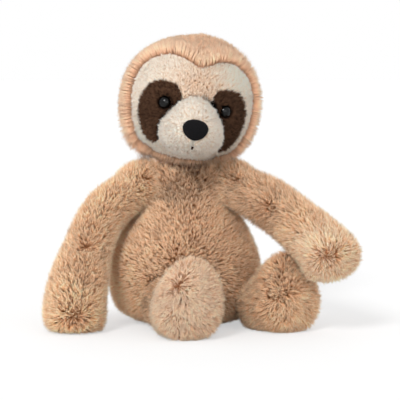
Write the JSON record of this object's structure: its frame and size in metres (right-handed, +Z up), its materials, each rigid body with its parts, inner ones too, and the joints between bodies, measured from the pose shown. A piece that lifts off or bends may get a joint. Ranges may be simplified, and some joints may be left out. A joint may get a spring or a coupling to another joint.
{
  "type": "plush sloth",
  "caption": "Seated plush sloth toy with a tilted head, dark eye patches, long arms and upturned feet.",
  "frame": {"origin": "middle of the flat seat, on the surface that the toy sits on", "axes": "+Z up, the toy faces -Y, its own left side is at +X"},
  "size_m": [0.2171, 0.1459, 0.2075],
  "materials": {
    "long_plush": "long soft pile",
    "short_plush": "short soft pile",
    "dark_plush": "short dark pile",
    "nose_velvet": "matt velvet",
    "mouth_thread": "thread",
    "eye_plastic": "polished",
    "washer_plastic": "as moulded",
    "filling": "loose fibre",
    "pouch_cloth": "plain weave",
    "seam_thread": "thread"
  },
  "bodies": {
    "torso": {"body_front_right": "long_plush", "body_front_left": "long_plush", "body_back": "long_plush", "body_stuffing": "filling", "seat_bean_pouch": "pouch_cloth", "left_leg_seam_thread": "seam_thread"},
    "neck": {"neck_gather_thread": "seam_thread"},
    "neck_seam": {"neck_seam_thread": "seam_thread"},
    "head": {"head_hood": "long_plush", "face_panel": "short_plush", "muzzle": "short_plush", "nose": "nose_velvet", "mouth_stitch": "mouth_thread", "right_eye_patch": "dark_plush", "right_eye": "eye_plastic", "right_eye_washer": "washer_plastic", "left_eye_patch": "dark_plush", "left_eye": "eye_plastic", "left_eye_washer": "washer_plastic", "head_stuffing": "filling"},
    "right_shoulder": {"right_arm_seam_thread": "seam_thread"},
    "right_arm": {"right_arm_skin": "long_plush", "right_arm_stuffing": "filling"},
    "left_shoulder": {"left_arm_seam_thread": "seam_thread"},
    "left_arm": {"left_arm_skin": "long_plush", "left_arm_stuffing": "filling"},
    "right_hip": {"right_leg_seam_thread": "seam_thread"},
    "right_leg": {"right_leg_skin": "long_plush", "right_leg_stuffing": "filling"},
    "left_leg": {"left_leg_skin": "long_plush", "left_leg_stuffing": "filling"}
  },
  "joints": [
    {"name": "head_turn", "type": "hinge", "parent": "torso", "child": "neck", "pos_m": [0.001, -0.003, 0.15], "axis": [0, 0, 1], "range_deg": [-35, 35]},
    {"name": "head_tilt", "type": "hinge", "parent": "neck", "child": "neck_seam", "pos_m": [0.001, -0.003, 0.15], "axis": [-0.1219, 0.9925, 0], "range_deg": [-20, 6]},
    {"name": "head_nod", "type": "hinge", "parent": "neck_seam", "child": "head", "pos_m": [0.001, -0.003, 0.15], "axis": [0.9803, 0.1204, -0.1564], "range_deg": [-10, 8]},
    {"name": "right_arm_swing", "type": "hinge", "parent": "torso", "child": "right_shoulder", "pos_m": [-0.035, -0.008, 0.097], "axis": [-1, 0, 0], "range_deg": [0, 60]},
    {"name": "right_arm_lift", "type": "hinge", "parent": "right_shoulder", "child": "right_arm", "pos_m": [-0.035, -0.008, 0.097], "axis": [0, 1, 0], "range_deg": [0, 60]},
    {"name": "left_arm_swing", "type": "hinge", "parent": "torso", "child": "left_shoulder", "pos_m": [0.035, -0.006, 0.098], "axis": [-1, 0, 0], "range_deg": [0, 60]},
    {"name": "left_arm_lift", "type": "hinge", "parent": "left_shoulder", "child": "left_arm", "pos_m": [0.035, -0.006, 0.098], "axis": [0, -1, 0], "range_deg": [0, 45]},
    {"name": "right_leg_spread", "type": "hinge", "parent": "torso", "child": "right_hip", "pos_m": [-0.012, -0.042, 0.02], "axis": [0, 0, 1], "range_deg": [-25, 6]},
    {"name": "right_leg_lift", "type": "hinge", "parent": "right_hip", "child": "right_leg", "pos_m": [-0.012, -0.042, 0.02], "axis": [-0.9455, -0.3256, 0], "range_deg": [0, 24]},
    {"name": "left_leg_spread", "type": "hinge", "parent": "torso", "child": "left_leg", "pos_m": [0.044, -0.012, 0.02], "axis": [0, 0, 1], "range_deg": [-6, 6]}
  ]
}
